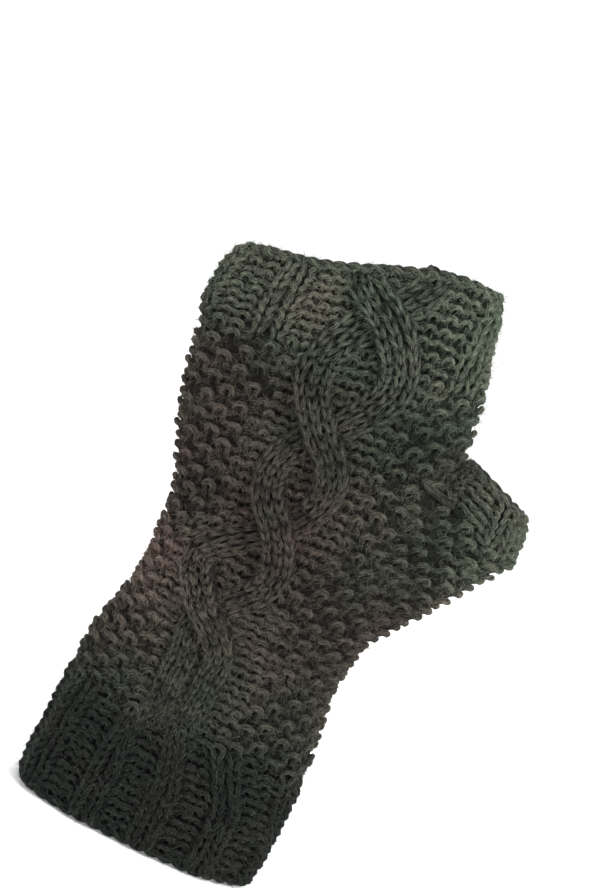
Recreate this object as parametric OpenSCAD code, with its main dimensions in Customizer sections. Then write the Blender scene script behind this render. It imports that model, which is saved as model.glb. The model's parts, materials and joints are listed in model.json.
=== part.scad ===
// Fingerless glove, left hand, knitted in wool: a ribbed cuff, a seed-stitch
// hand with a cable up the back, a ribbed finger band and a short ribbed thumb.
// The glove stands on its cast-on edge. +Z runs from the cuff to the fingers,
// the back of the hand faces -Y and the thumb is on the +X side.
// The origin is the middle of the cuff's opening.

/* [Cuff] */
// Width of the cast-on edge, little-finger side to thumb side
cuff_w = 87.5; // [72:0.5:106]
// Depth of the cuff, back to palm
cuff_depth = 50; // [42:0.5:60]
// Height of the cast-on edge
cast_on_h = 4; // [3:0.1:6]
// Height of the cuff's ribbing
rib_h = 40; // [25:0.5:60]
// How much wider the seed stitch swells just above the ribbing
swell_w = 1.5; // [0:0.1:5]
// Height of the seed stitch between the ribbing and the wrist
forearm_h = 28; // [20:0.5:40]

/* [Wrist] */
// Width at the narrowest place
wrist_w = 79.5; // [64:0.5:96]
// Depth at the wrist, back to palm
wrist_depth = 42.5; // [34:0.5:52]
// Height of the band of fabric that bends with the wrist
wrist_band_h = 22; // [20:0.5:30]

/* [Hand] */
// Width across the palm, beside the thumb
palm_w = 97.5; // [80:0.5:118]
// Width across the knuckles
knuckle_w = 101; // [84:0.5:122]
// Depth of the hand, back to palm
hand_depth = 39; // [32:0.5:47]
// Height from the wrist band to the row where the thumb parts from the hand
palm_h = 50.5; // [42:0.5:61]
// Height from that row to the band that bends with the knuckles
web_h = 20; // [16:0.5:25]
// Height of the band of fabric that bends with the knuckles
knuckle_band_h = 12; // [11:0.5:16]

/* [Finger band] */
// Height of the finger band's ribbing, along its middle
finger_rib_h = 31; // [20:0.5:40]
// Height of the bound-off edge
bind_off_h = 3.5; // [2.5:0.1:6]
// Width of the bound-off edge
finger_w = 88; // [72:0.5:106]
// Depth of the bound-off edge, back to palm
finger_depth = 32; // [26:0.5:40]
// How steeply the bound-off edge rises to the index finger, in degrees
finger_slope = 14.5; // [0:0.5:20]

/* [Thumb] */
// Width of the thumb tube where it parts from the hand
thumb_w = 31; // [25:0.5:37]
// Depth of the thumb tube, back to palm
thumb_depth = 27; // [22:0.5:33]
// Height of the thumb's ribbing
thumb_rib_h = 14; // [9:0.5:20]
// How far the thumb's opening is narrower than its base
thumb_taper = 3.5; // [0:0.5:6]
// How steeply the thumb's rows fall away from the hand, in degrees
thumb_slope = 20; // [0:1:30]

/* [Fabric] */
// Thickness of the knitted fabric
fabric_t = 4; // [2.5:0.1:5]
// How far the knit ribs stand out of the purl ribs
rib_proud = 1.2; // [0.5:0.1:1.6]
// Diameter of the yarn
yarn_d = 2.4; // [1.5:0.1:3]

/* [Cable] */
// Width of one strand of the cable
strand_w = 10; // [8:0.5:12]
// Thickness of one strand of the cable
strand_t = 3.8; // [2.5:0.1:4.5]
// Gap between two strands where one passes over the other
strand_gap = 0.3; // [0.2:0.05:0.6]

/* [Hidden] */

// Yarn colours
c_rib = [0.17, 0.18, 0.16];
c_seed = [0.27, 0.27, 0.23];
c_palm = [0.24, 0.24, 0.21];
c_cable = [0.36, 0.35, 0.31];
c_flex = [0.31, 0.28, 0.25];
c_thumb = [0.25, 0.28, 0.24];
c_edge = [0.14, 0.15, 0.14];
c_tail = [0.40, 0.38, 0.33];

// Stitches round the hand and round the thumb, and the corners that a cross
// section has: one at each stitch boundary.
hand_sts = 40;
thumb_sts = 20;
// Squareness of the cross sections: 2 is an ellipse
hand_square = 2.5;
thumb_square = 2.3;
// Corners of the hand's cross section where the thumb's gusset starts and ends
gusset_from = 14;
gusset_to = 26;
// Corners of the hand that the gusset still shares with it at its top
shared_sts = 3;
// First and last corner of the hand's back that the cable covers
cable_corners = [7, 13];

// A row is [middle x, middle z, half width, slope, half depth]. Rows are the
// places where the glove's outline changes, from the cast-on edge up.
z_rib = cast_on_h;
z_rib_top = z_rib + rib_h;
z_wrist = z_rib_top + forearm_h;
z_palm = z_wrist + wrist_band_h;
z_split = z_palm + palm_h;
z_knuckle = z_split + web_h;
z_finger = z_knuckle + knuckle_band_h;
z_edge = z_finger + finger_rib_h;
z_top = z_edge + bind_off_h;
ROWS = [
  [0, 0, cuff_w / 2, 0, cuff_depth / 2],
  [0, z_rib, cuff_w / 2, 0, cuff_depth / 2],
  [1.2, z_rib + rib_h / 2, cuff_w / 2, 0, cuff_depth / 2],
  [1.7, z_rib_top, cuff_w / 2, 0, cuff_depth / 2 - 0.5],
  [0.5, z_rib_top + forearm_h * 0.43, (cuff_w + swell_w) / 2, 0, cuff_depth / 2 - 0.5],
  [0.8, z_wrist, wrist_w / 2 + 0.7, 0, wrist_depth / 2 + 1.2],
  [3, z_wrist + wrist_band_h / 2, wrist_w / 2, 0, wrist_depth / 2],
  [4.3, z_palm, wrist_w / 2 + 1.5, 0, wrist_depth / 2 - 0.2],
  [4.3, z_palm + palm_h * 0.48, (wrist_w + palm_w) / 4 - 1, 3, hand_depth / 2 + 0.5],
  [-0.6, z_split, palm_w / 2, 6.5, hand_depth / 2],
  [-3.6, z_knuckle, knuckle_w / 2, 7.3, hand_depth / 2 - 0.5],
  [-5.6, z_finger, knuckle_w / 2 - 0.7, 7.5, hand_depth / 2 - 1],
  [-8, z_finger + finger_rib_h / 2, (knuckle_w + finger_w) / 4 + 1.2, 10, (hand_depth + finger_depth) / 4],
  [-9.2, z_edge, finger_w / 2 + 1.8, finger_slope - 0.9, finger_depth / 2 + 0.6],
  [-10.2, z_top, finger_w / 2, finger_slope, finger_depth / 2]
];
ROW_RIB = 1;
ROW_RIB_TOP = 3;
ROW_WRIST = 5;
ROW_PALM = 7;
ROW_SPLIT = 9;
ROW_KNUCKLE = 10;
ROW_FINGER = 11;
ROW_EDGE = 13;
ROW_TOP = 14;

// Thumb: it parts from the hand at the right end of the split row.
thumb_gap = 0.6;
split_row = ROWS[ROW_SPLIT];
split_x = split_row[0] + split_row[2] * cos(split_row[3]);
split_z = split_row[1] + split_row[2] * sin(split_row[3]);
thumb_mid = [split_x + thumb_gap + thumb_w / 2 * cos(thumb_slope), split_z - thumb_w / 2 * sin(thumb_slope)];
thumb_lean = -1;
function thumb_row(h, w, d) =
  [thumb_mid[0] + h * sin(thumb_lean), thumb_mid[1] + h * cos(thumb_lean), w / 2, -thumb_slope, d / 2];
THUMB_ROWS = [
  thumb_row(0, thumb_w, thumb_depth),
  thumb_row(thumb_rib_h / 2, thumb_w - 0.5, thumb_depth),
  thumb_row(thumb_rib_h, thumb_w - thumb_taper + 1, thumb_depth - thumb_taper + 1),
  thumb_row(thumb_rib_h + bind_off_h, thumb_w - thumb_taper, thumb_depth - thumb_taper)
];

// Cable: [row, middle x, distance between the strands' middles], with the
// crossings at the rows in CROSSINGS. Half a turn is made at each crossing.
CABLE = [
  [3, -4.7, 11], [4.9, -4.2, 11.5], [6, -9.2, 19], [7.3, -7.2, 24], [8, 0.4, 20],
  [8.7, -0.4, 18], [9.4, -1, 21], [10.7, 1.3, 26], [12.2, 1, 26], [14, 1.3, 26]
];
CROSSINGS = [6, 8, 9.4, 12.2];
cable_start = 3;
cable_free = 1.2;
strand_sides = 8;
rings_per_row = 4;
strand_sink = 0.15;

// ---- Arithmetic ----
function lerp(a, b, t) = a + (b - a) * t;
function clamp01(t) = min(1, max(0, t));
function smooth(t) = let (s = clamp01(t)) s * s * (3 - 2 * s);
function signed_pow(v, p) = sign(v) * pow(abs(v), p);
// Value of column c at position v in a table whose first column rises.
function look_up(table, v, c) = lookup(v, [for (r = table) [r[0], r[c]]]);

// ---- Rows and rings ----
function row_at(v) =
  let (i = min(floor(v), len(ROWS) - 2)) lerp(ROWS[i], ROWS[i + 1], v - i);
// Corner k of a cross section, in the row's own x and y. Corner 0 is on the
// little-finger side, and the corners go over the back of the hand first.
function corner(row, k, count, square) =
  let (a = 360 * k / count, p = 2 / square)
  [row[0] - row[2] * cos(row[3]) * signed_pow(cos(a), p), -row[4] * signed_pow(sin(a), p)];
// Unit normal at corner k, pointing into the hollow.
function inward(row, k, count, square) =
  let (
    a = corner(row, k - 0.5, count, square),
    b = corner(row, k + 0.5, count, square),
    d = b - a
  ) [-d[1], d[0]] / norm(d);
// The point of the row's plane over [x, y].
function lift(row, p) = [p[0], p[1], row[1] + tan(row[3]) * (p[0] - row[0])];
function ring_point(row, k, inset, count, square) =
  lift(row, corner(row, k, count, square) + inset * inward(row, k, count, square));
function hand_point(row, k, inset) = ring_point(row, k, inset, hand_sts, hand_square);
function thumb_point(row, k, inset) = ring_point(row, k, inset, thumb_sts, thumb_square);
// Two knit stitches stand out, two purl stitches lie back. The ribs leave room
// for the cable where there is one.
function rib_inset(k) = (k + 1) % 4 < 2 ? -rib_proud : 0;
function beside_cable(k) = k < cable_corners[0] || k > cable_corners[1];

// ---- Shells ----
// A wall between two stacks of rings that have the same number of points.
// A closed wall goes all the way round; an open one has two side edges.
module wall(outer, inner, closed) {
  m = len(outer);
  p = len(outer[0]);
  last = closed ? p - 1 : p - 2;
  o = function (i, j) i * p + j % p;
  n = function (i, j) m * p + i * p + j % p;
  quad = function (a, b, c, d) [[a, b, c], [a, c, d]];
  faces = [
    for (i = [0 : m - 2], j = [0 : last]) each quad(o(i, j), o(i + 1, j), o(i + 1, j + 1), o(i, j + 1)),
    for (i = [0 : m - 2], j = [0 : last]) each quad(n(i, j), n(i, j + 1), n(i + 1, j + 1), n(i + 1, j)),
    for (j = [0 : last]) each quad(o(0, j), o(0, j + 1), n(0, j + 1), n(0, j)),
    for (j = [0 : last]) each quad(o(m - 1, j), n(m - 1, j), n(m - 1, j + 1), o(m - 1, j + 1)),
    if (!closed) for (i = [0 : m - 2]) each quad(n(i + 1, 0), o(i + 1, 0), o(i, 0), n(i, 0)),
    if (!closed) for (i = [0 : m - 2]) each quad(o(i, p - 1), o(i + 1, p - 1), n(i + 1, p - 1), n(i, p - 1))
  ];
  polyhedron([for (r = outer) each r, for (r = inner) each r], faces);
}

// The hand's fabric between two rows and two corners.
module hand_wall(row_from, row_to, k_from, k_to) {
  closed = k_to - k_from == hand_sts;
  k_last = closed ? k_to - 1 : k_to;
  rows = [for (i = [row_from : row_to]) ROWS[i]];
  wall(
    [for (r = rows) [for (k = [k_from : k_last]) hand_point(r, k, 0)]],
    [for (r = rows) [for (k = [k_from : k_last]) hand_point(r, k, fabric_t)]],
    closed
  );
}

// A ribbed tube of the hand between two rows.
module ribbed_tube(row_from, row_to, with_cable) {
  rows = [for (i = [row_from : row_to]) ROWS[i]];
  wall(
    [for (r = rows) [
      for (k = [0 : hand_sts - 1]) hand_point(r, k, !with_cable || beside_cable(k) ? rib_inset(k) : 0)
    ]],
    [for (r = rows) [for (k = [0 : hand_sts - 1]) hand_point(r, k, fabric_t)]],
    true
  );
}

// ---- Cable ----
// How far the cable has turned at row v, in degrees: 90 at the first crossing
// and half a turn more at each one after it.
function cable_turn(v) =
  let (
    first = CROSSINGS[0],
    final = CROSSINGS[len(CROSSINGS) - 1],
    table = [
      [first - cable_free, 0],
      for (i = [0 : len(CROSSINGS) - 1]) [CROSSINGS[i], 90 + 180 * i],
      [ROW_TOP, 180 * len(CROSSINGS)]
    ]
  ) lookup(v, table);
// side is -1 for the strand that starts nearer the little finger, else 1.
function strand_x(v, side) = look_up(CABLE, v, 1) + side * look_up(CABLE, v, 2) / 2 * cos(cable_turn(v));
// The strand on the thumb's side passes over, so the strands take turns.
function strand_rise(v, side) = (strand_t + strand_gap) * smooth(side * sin(cable_turn(v)) / 0.8);
// Distance of the hand's back from the middle plane, at x in a row.
function back_y(row, x) =
  let (u = abs(x - row[0]) / (row[2] * cos(row[3]))) -row[4] * pow(1 - pow(u, hand_square), 1 / hand_square);
// A strand slants where it crosses, so its level section is wider there.
function strand_half_w(v, side) =
  let (
    step = 0.05,
    rise = row_at(v + step)[1] - row_at(v - step)[1],
    run = strand_x(v + step, side) - strand_x(v - step, side)
  ) strand_w / 2 * min(1.3, norm([rise, run]) / rise);
function strand_ring(v, side) =
  let (
    row = row_at(v),
    x = strand_x(v, side),
    y = back_y(row, x) - strand_t / 2 + strand_sink - strand_rise(v, side),
    half_w = strand_half_w(min(max(v, 0.1), ROW_TOP - 0.1), side)
  ) [
    for (i = [0 : strand_sides - 1])
      let (a = 360 * (i + 0.5) / strand_sides)
      lift(row, [
        x + half_w * signed_pow(cos(a), 0.6) * 1.12,
        y + strand_t / 2 * signed_pow(sin(a), 0.6) * 1.12
      ])
  ];
// A solid bar through a stack of rings.
module bar(rings) {
  m = len(rings);
  p = len(rings[0]);
  at = function (i, j) i * p + j % p;
  faces = [
    for (i = [0 : m - 2], j = [0 : p - 1])
      each [[at(i, j), at(i + 1, j), at(i + 1, j + 1)], [at(i, j), at(i + 1, j + 1), at(i, j + 1)]],
    [for (j = [0 : p - 1]) at(0, j)],
    [for (j = [p - 1 : -1 : 0]) at(m - 1, j)]
  ];
  polyhedron([for (r = rings) each r], faces);
}
module strand(v_from, v_to, side) {
  count = max(1, round((v_to - v_from) * rings_per_row));
  bar([for (i = [0 : count]) strand_ring(lerp(v_from, v_to, i / count), side)]);
}

// ---- Cuff ----
module cast_on_edge() {
  color(c_edge)
    linear_extrude(height = cast_on_h)
      difference() {
        polygon([for (k = [0 : hand_sts - 1]) corner(ROWS[0], k, hand_sts, hand_square)]);
        polygon([
          for (k = [0 : hand_sts - 1])
            let (p = hand_point(ROWS[0], k, fabric_t)) [p[0], p[1]]
        ]);
      }
}
module wrist_rib() {
  color(c_rib) ribbed_tube(ROW_RIB, ROW_RIB_TOP, false);
}
module forearm_panel() {
  color(c_seed) hand_wall(ROW_RIB_TOP, ROW_WRIST, 0, hand_sts);
}
module cable_stem() {
  color(c_cable) strand(cable_start, ROW_WRIST, -1);
  color(c_cable) strand(cable_start, ROW_WRIST, 1);
}

// ---- Wrist ----
module wrist_flex_band() {
  color(c_flex) hand_wall(ROW_WRIST, ROW_PALM, 0, hand_sts);
}
module wrist_cable_crossing() {
  color(c_cable) strand(ROW_WRIST, ROW_PALM, -1);
  color(c_cable) strand(ROW_WRIST, ROW_PALM, 1);
}

// ---- Hand ----
module back_panel() {
  color(c_seed) hand_wall(ROW_PALM, ROW_KNUCKLE, 0, gusset_from);
}
module palm_panel() {
  color(c_palm) hand_wall(ROW_PALM, ROW_KNUCKLE, gusset_to, hand_sts);
}
module hand_cable_strand_a() {
  color(c_cable) strand(ROW_PALM, ROW_KNUCKLE, -1);
}
module hand_cable_strand_b() {
  color(c_cable) strand(ROW_PALM, ROW_KNUCKLE, 1);
}

// ---- Thumb ----
// The gusset's rings start on the wrist's side and widen row by row until they
// meet the thumb's tube. The corners next to the panels stay on the hand.
thumb_from = 4;
thumb_to = thumb_sts - thumb_from;
gusset_points = 2 * shared_sts + thumb_to - thumb_from + 1;
function on_hand(j) = j < shared_sts || j >= gusset_points - shared_sts;
function hand_corner(j) = j < shared_sts ? gusset_from + j : gusset_to - (gusset_points - 1 - j);
function gusset_start(j, inset) =
  hand_point(ROWS[ROW_PALM], lerp(gusset_from, gusset_to, j / (gusset_points - 1)), inset);
function gusset_point(i, j, inset) =
  let (t = (i - ROW_PALM) / (ROW_SPLIT - ROW_PALM), hand = hand_point(ROWS[i], hand_corner(j), inset))
  on_hand(j)
    ? lerp(gusset_start(j, inset), hand, j == 0 || j == gusset_points - 1 ? 1 : t)
    : lerp(gusset_start(j, inset), thumb_point(THUMB_ROWS[0], thumb_from + j - shared_sts, inset), t);
module thumb_gusset() {
  color(c_thumb)
    wall(
      [for (i = [ROW_PALM : ROW_SPLIT]) [for (j = [0 : gusset_points - 1]) gusset_point(i, j, 0)]],
      [for (i = [ROW_PALM : ROW_SPLIT]) [for (j = [0 : gusset_points - 1]) gusset_point(i, j, fabric_t)]],
      false
    );
}
module thumb_crotch() {
  color(c_thumb) hand_wall(ROW_SPLIT, ROW_KNUCKLE, gusset_from, gusset_to);
}
module thumb_tube(row_from, row_to, ribbed) {
  rows = [for (i = [row_from : row_to]) THUMB_ROWS[i]];
  wall(
    [for (r = rows) [for (k = [0 : thumb_sts - 1]) thumb_point(r, k, ribbed ? rib_inset(k) / 2 : 0)]],
    [for (r = rows) [for (k = [0 : thumb_sts - 1]) thumb_point(r, k, fabric_t)]],
    true
  );
}
module thumb_rib() {
  color(c_rib) thumb_tube(0, 2, true);
}
module thumb_bind_off() {
  color(c_edge) thumb_tube(2, 3, false);
}

// ---- Fingers ----
module knuckle_flex_band() {
  color(c_flex) hand_wall(ROW_KNUCKLE, ROW_FINGER, 0, hand_sts);
}
module knuckle_cable_strands() {
  color(c_cable) strand(ROW_KNUCKLE, ROW_FINGER, -1);
  color(c_cable) strand(ROW_KNUCKLE, ROW_FINGER, 1);
}
module finger_rib() {
  color(c_rib) ribbed_tube(ROW_FINGER, ROW_EDGE, true);
}
module finger_cable_crossing() {
  color(c_cable) strand(ROW_FINGER, ROW_EDGE, -1);
  color(c_cable) strand(ROW_FINGER, ROW_EDGE, 1);
}
module finger_bind_off() {
  color(c_edge) hand_wall(ROW_EDGE, ROW_TOP, 0, hand_sts);
}

// ---- Yarn ends, woven in on the inside ----
// A tail lies along the inside of the fabric, a little way round and up.
tail_sides = 8;
tail_steps = 5;
tail_gap = 0.5;
module tail(low, high, k_from, k_to, count, square) {
  inset = fabric_t + tail_gap + yarn_d / 2;
  bar([
    for (i = [0 : tail_steps])
      let (
        row = lerp(low, high, i / tail_steps),
        k = lerp(k_from, k_to, i / tail_steps),
        side = inward(row, k, count, square),
        middle = ring_point(row, k, inset, count, square)
      ) [
        for (j = [0 : tail_sides - 1])
          let (a = 360 * j / tail_sides)
          middle + yarn_d / 2 * [side[0] * sin(a), side[1] * sin(a), cos(a)]
      ]
  ]);
}
module cast_on_yarn_tail() {
  color(c_tail) tail(row_at(1.1), row_at(1.3), 31, 36, hand_sts, hand_square);
}
module finger_yarn_tail() {
  color(c_tail) tail(row_at(12.9), row_at(12.5), 31, 36, hand_sts, hand_square);
}
module thumb_yarn_tail() {
  color(c_tail)
    tail(lerp(THUMB_ROWS[1], THUMB_ROWS[2], 0.6), lerp(THUMB_ROWS[0], THUMB_ROWS[1], 0.6), 13, 16, thumb_sts, thumb_square);
}

cast_on_edge();
wrist_rib();
forearm_panel();
cable_stem();
wrist_flex_band();
wrist_cable_crossing();
back_panel();
palm_panel();
hand_cable_strand_a();
hand_cable_strand_b();
thumb_gusset();
thumb_crotch();
thumb_rib();
thumb_bind_off();
knuckle_flex_band();
knuckle_cable_strands();
finger_rib();
finger_cable_crossing();
finger_bind_off();
cast_on_yarn_tail();
finger_yarn_tail();
thumb_yarn_tail();
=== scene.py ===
import json
import math

import bpy
import numpy as np
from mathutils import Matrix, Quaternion, Vector
from mathutils.bvhtree import BVHTree


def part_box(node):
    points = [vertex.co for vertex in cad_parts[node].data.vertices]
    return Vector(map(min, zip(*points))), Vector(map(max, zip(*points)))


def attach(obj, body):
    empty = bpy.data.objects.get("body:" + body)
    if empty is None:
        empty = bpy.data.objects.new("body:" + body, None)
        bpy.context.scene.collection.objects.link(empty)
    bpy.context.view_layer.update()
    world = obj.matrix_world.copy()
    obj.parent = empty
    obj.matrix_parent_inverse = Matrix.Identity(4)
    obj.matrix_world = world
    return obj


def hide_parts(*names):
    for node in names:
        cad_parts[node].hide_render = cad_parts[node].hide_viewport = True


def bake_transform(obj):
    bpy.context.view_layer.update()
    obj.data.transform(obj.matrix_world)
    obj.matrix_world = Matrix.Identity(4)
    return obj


# The glove is knitted stitch by stitch: every row is one length of yarn, laid as loops over the CAD's
# surface. Lengths are in millimetres until a mesh is made. Column coordinate u runs round the hand from the
# little-finger side, over the back first. Row coordinate v counts rows from the cast-on edge.

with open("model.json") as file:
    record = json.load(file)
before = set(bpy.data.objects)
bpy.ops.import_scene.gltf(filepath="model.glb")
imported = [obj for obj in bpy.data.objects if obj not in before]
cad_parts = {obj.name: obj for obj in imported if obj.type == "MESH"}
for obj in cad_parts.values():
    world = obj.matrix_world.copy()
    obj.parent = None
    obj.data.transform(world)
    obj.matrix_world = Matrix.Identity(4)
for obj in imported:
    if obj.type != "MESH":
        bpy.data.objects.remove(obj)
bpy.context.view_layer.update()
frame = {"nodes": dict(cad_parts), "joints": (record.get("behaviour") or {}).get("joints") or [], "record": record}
rng = np.random.default_rng(7)

MM = 0.001
COLUMNS = 40
YARN_R = 1.02  # half the yarn's thickness
RIB_R = 0.93  # the same in ribbing
STRAND_R = 0.75  # the same where the cable pulls it tight
INSET = 1.9  # from the CAD's outer face to the middle of the fabric
RELIEF = 1.1  # how far yarn stands in front of or behind the fabric's middle
LOOP_REACH = 0.85  # half a loop's height, in rows
LOOP_WAIST = 0.22  # how far a loop's legs pinch in, in columns
SHORT_REACH = 0.62  # the same two for purl bumps, which lie flatter
SHORT_WAIST = 0.14
SHADE_SHEET = (2.15, 0.3)  # half width and half thickness of a dark sheet between a row's loops, painted shade in the gaps
SHADE_SHEET_DEPTH = -0.45  # where it lies
SAMPLES = 16  # points of yarn in a loop
SIDES = 8  # sides of the yarn
SQUARE = 0.8  # 2 / squareness of the CAD's cross sections
THUMB_SQUARE = 0.87  # the same for the thumb
GROUND_DEPTH = 1.7  # how far the purl ground beside the cable lies back

# Rows knitted up to each level that is read from the CAD.
ROWS_AT = [-0.8, 0.5, 13, 21.5, 29, 48, 51.2, 59.7, 60.6]
CUFF_ROWS, FOREARM_ROWS, WRIST_ROWS = (0, 13), (13, 21), (21, 29)
HAND_ROWS, KNUCKLE_ROWS, FINGER_ROWS = (29, 47), (47, 52), (52, 60)
SPLIT_ROW = 43  # where the thumb parts from the hand

# The cable, by height: its middle, how far apart its strands are, its room in the fabric, a wale's width.
CABLE_Z = [44, 70.4, 83, 101, 118.2, 136.6, 152.5, 173, 195.1, 211]
CABLE_X = [-4.7, -4.2, -9.2, -7.2, 0.4, -0.4, -1.0, 1.3, 1.0, 1.3]
CABLE_SPREAD = [11, 11.5, 19, 25, 21, 20, 23, 26, 26, 26]
CABLE_ROOM = [10.5, 11.5, 13.5, 15, 15, 15, 15.5, 17, 17.5, 17.5]
WALE_W = [3.1, 3.1, 3.2, 3.4, 3.5, 3.5, 3.6, 4.2, 4.3, 4.3]
TURN_Z = [68.8, 83, 118.2, 152.5, 195.1, 211]
TURN = [0, 90, 270, 450, 630, 720]
CABLE_COLUMNS = (8, 14)

# The wool's two colours, as linear light
GREEN = np.array([0.0183, 0.0207, 0.0166])
BROWN = np.array([0.0212, 0.0172, 0.0156])


def opening(name):
    """Middle and axis of one of the record's mounts."""
    found = next(m for m in frame["record"]["mounts"] if m["name"] == name)
    return np.array(found["pos_m"]) / MM, np.array(found["axis"])


def low(node):
    return np.array(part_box(node)[0]) / MM


def high(node):
    return np.array(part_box(node)[1]) / MM


def smooth(t):
    t = np.clip(t, 0, 1)
    return t * t * (3 - 2 * t)


def signed_pow(value, power):
    return np.sign(value) * np.abs(value) ** power


def unit(vectors):
    return vectors / np.maximum(np.linalg.norm(vectors, axis=-1, keepdims=True), 1e-9)


# ---- The hand's surface, measured on the CAD ----
LEVELS = ["cast_on_edge", "wrist_rib", "forearm_panel", "wrist_flex_band"]
finger_mouth = opening("finger_opening")[0]
LEFT_Z = [0] + [high(n)[2] for n in LEVELS]
LEFT_Z += [low(n)[2] for n in ("knuckle_flex_band", "finger_rib", "finger_bind_off")]
LEFT_Z += [2 * finger_mouth[2] - high("finger_bind_off")[2]]
RIGHT_Z = [0] + [high(n)[2] for n in LEVELS]
RIGHT_Z += [high(n)[2] for n in ("thumb_crotch", "knuckle_flex_band", "finger_rib", "finger_bind_off")]


def cad_tree(nodes):
    points, faces = [], []
    for n in nodes:
        mesh = frame["nodes"][n].data
        first = len(points)
        points += [v.co / MM for v in mesh.vertices]
        faces += [[first + i for i in p.vertices] for p in mesh.polygons]
    return BVHTree.FromPolygons(points, faces)


def smoothed(values, reach=3):
    padded = np.pad(values, reach, mode="edge")
    return np.convolve(padded, np.ones(2 * reach + 1) / (2 * reach + 1), "valid")


def measured_outline():
    """Left edge, right edge and depth of the glove at each height, from rays at the CAD."""
    hand = ["back_panel", "palm_panel", "thumb_crotch"]
    tree = cad_tree(LEVELS + hand + ["knuckle_flex_band", "finger_rib", "finger_bind_off"])
    heights = np.arange(1, high("finger_bind_off")[2] - 1, 2)
    left, right, depth = [], [], []
    for z in heights:
        hit = tree.ray_cast(Vector((-200, 0, z)), Vector((1, 0, 0)))[0]
        left.append(hit.x if hit and hit.x < -20 else np.nan)
        hit = tree.ray_cast(Vector((200, 0, z)), Vector((-1, 0, 0)))[0]
        right.append(hit.x if hit and hit.x > 20 else np.nan)
        hit = tree.ray_cast(Vector((0, 200, z)), Vector((0, -1, 0)))[0]
        depth.append(hit.y if hit and hit.y > 5 else np.nan)
    filled = []
    for values in (left, right, depth):
        values = np.array(values)
        known = ~np.isnan(values)
        filled.append(smoothed(np.interp(heights, heights[known], values[known])))
    return heights, filled


HEIGHTS, (LEFT_X, RIGHT_X, DEPTH) = measured_outline()


def row_ends(v):
    """Left and right end of row v as (x, z), and its depth."""
    zl, zr = np.interp(v, ROWS_AT, LEFT_Z), np.interp(v, ROWS_AT, RIGHT_Z)
    xl = np.interp(zl, HEIGHTS, LEFT_X) + INSET
    xr = np.interp(zr, HEIGHTS, RIGHT_X) - INSET
    return xl, zl, xr, zr, np.interp((zl + zr) / 2, HEIGHTS, DEPTH) - INSET


def row_height(v, x):
    """Height of row v at x. The top rows bow a little, as on the real glove."""
    xl, zl, xr, zr, _ = row_ends(v)
    across = (x - xl) / (xr - xl)
    top = smooth((v - 48) / 12)
    corner = 1.8 * smooth((across - 0.84) / 0.16) + 1.0 * smooth((0.1 - across) / 0.1)
    return zl + (zr - zl) * across - top * (2.0 * np.sin(2 * math.pi * np.clip(across, 0, 1)) + corner)


def side_columns(z):
    """Columns at the little-finger and the thumb side: the fabric lies a little turned on the hand."""
    first = np.interp(z, [0, 44, 83, 120, 150, 211], [1, 1, 3.4, 2, 1.2, 0])
    last = np.interp(z, [0, 44, 83, 120, 150, 211], [21.4, 22, 22.4, 21, 20.2, 18.8])
    return first, last


def hand_row(v, u):
    """Points of row v at columns u, from 0 to COLUMNS."""
    xl, zl, xr, zr, depth = row_ends(v)
    a = np.linspace(0, math.pi, 361)
    x = (xl + xr) / 2 - (xr - xl) / 2 * signed_pow(np.cos(a), SQUARE)
    y = -depth * signed_pow(np.sin(a), SQUARE)
    arc = np.concatenate([[0], np.cumsum(np.hypot(np.diff(x), np.diff(y)))])
    arc /= arc[-1]
    z = (zl + zr) / 2
    first, last = side_columns(z)
    cable, room = np.interp(z, CABLE_Z, CABLE_X), np.interp(z, CABLE_Z, CABLE_ROOM)
    spots = np.interp([cable - room - 9, cable - room, cable + room, cable + room + 10], x, arc)
    stations = [first, 6, 8, 14, 16, last]
    even = np.interp(stations, [first, last], [0, 1])
    told = np.array([0, *spots, 1])
    told = even + (told - even) * smooth((z - 22) / 26)
    turned = np.where(u < first, u + COLUMNS, u)
    front = np.interp(turned, stations, told)
    back = 1 - (turned - last) / (first + COLUMNS - last)
    on_back = turned <= last
    share = np.where(on_back, front, back)
    px = np.interp(share, arc, x)
    py = np.interp(share, arc, y) * np.where(on_back, 1, -1)
    return np.stack([px, py, row_height(v, px)], -1)


class Surface:
    """Points and outward normals over a grid of columns and rows, carried on past its edges."""

    def __init__(self, us, vs, points, around=None):
        self.us, self.vs, self.points, self.around = us, vs, points, around
        self.normals = unit(np.cross(np.gradient(points, axis=1), np.gradient(points, axis=0)))

    def at(self, u, v):
        if self.around:
            u = np.mod(u, self.around)
        i = (u - self.us[0]) / (self.us[1] - self.us[0])
        j = (v - self.vs[0]) / (self.vs[1] - self.vs[0])
        i0 = np.clip(i.astype(int), 0, len(self.us) - 2)
        j0 = np.clip(j.astype(int), 0, len(self.vs) - 2)
        fi, fj = (i - i0)[:, None], (j - j0)[:, None]

        def mix(g):
            low_row = g[j0, i0] * (1 - fi) + g[j0, i0 + 1] * fi
            high_row = g[j0 + 1, i0] * (1 - fi) + g[j0 + 1, i0 + 1] * fi
            return low_row * (1 - fj) + high_row * fj

        return mix(self.points), unit(mix(self.normals))


def hand_surface():
    us, vs = np.arange(-2, COLUMNS + 2.01, 0.125), np.arange(-1, 62.01, 0.25)
    points = np.array([hand_row(v, np.mod(us, COLUMNS)) for v in vs])
    return Surface(us, vs, points, COLUMNS)


HAND = hand_surface()

# ---- The gusset and the thumb ----
thumb_mouth, thumb_axis = opening("thumb_opening")
GUSSET_ROWS = (HAND_ROWS[0], SPLIT_ROW)
GUSSET_STITCH = 5.5
THUMB_COLUMNS = 16
THUMB_ROWS = 5


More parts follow.
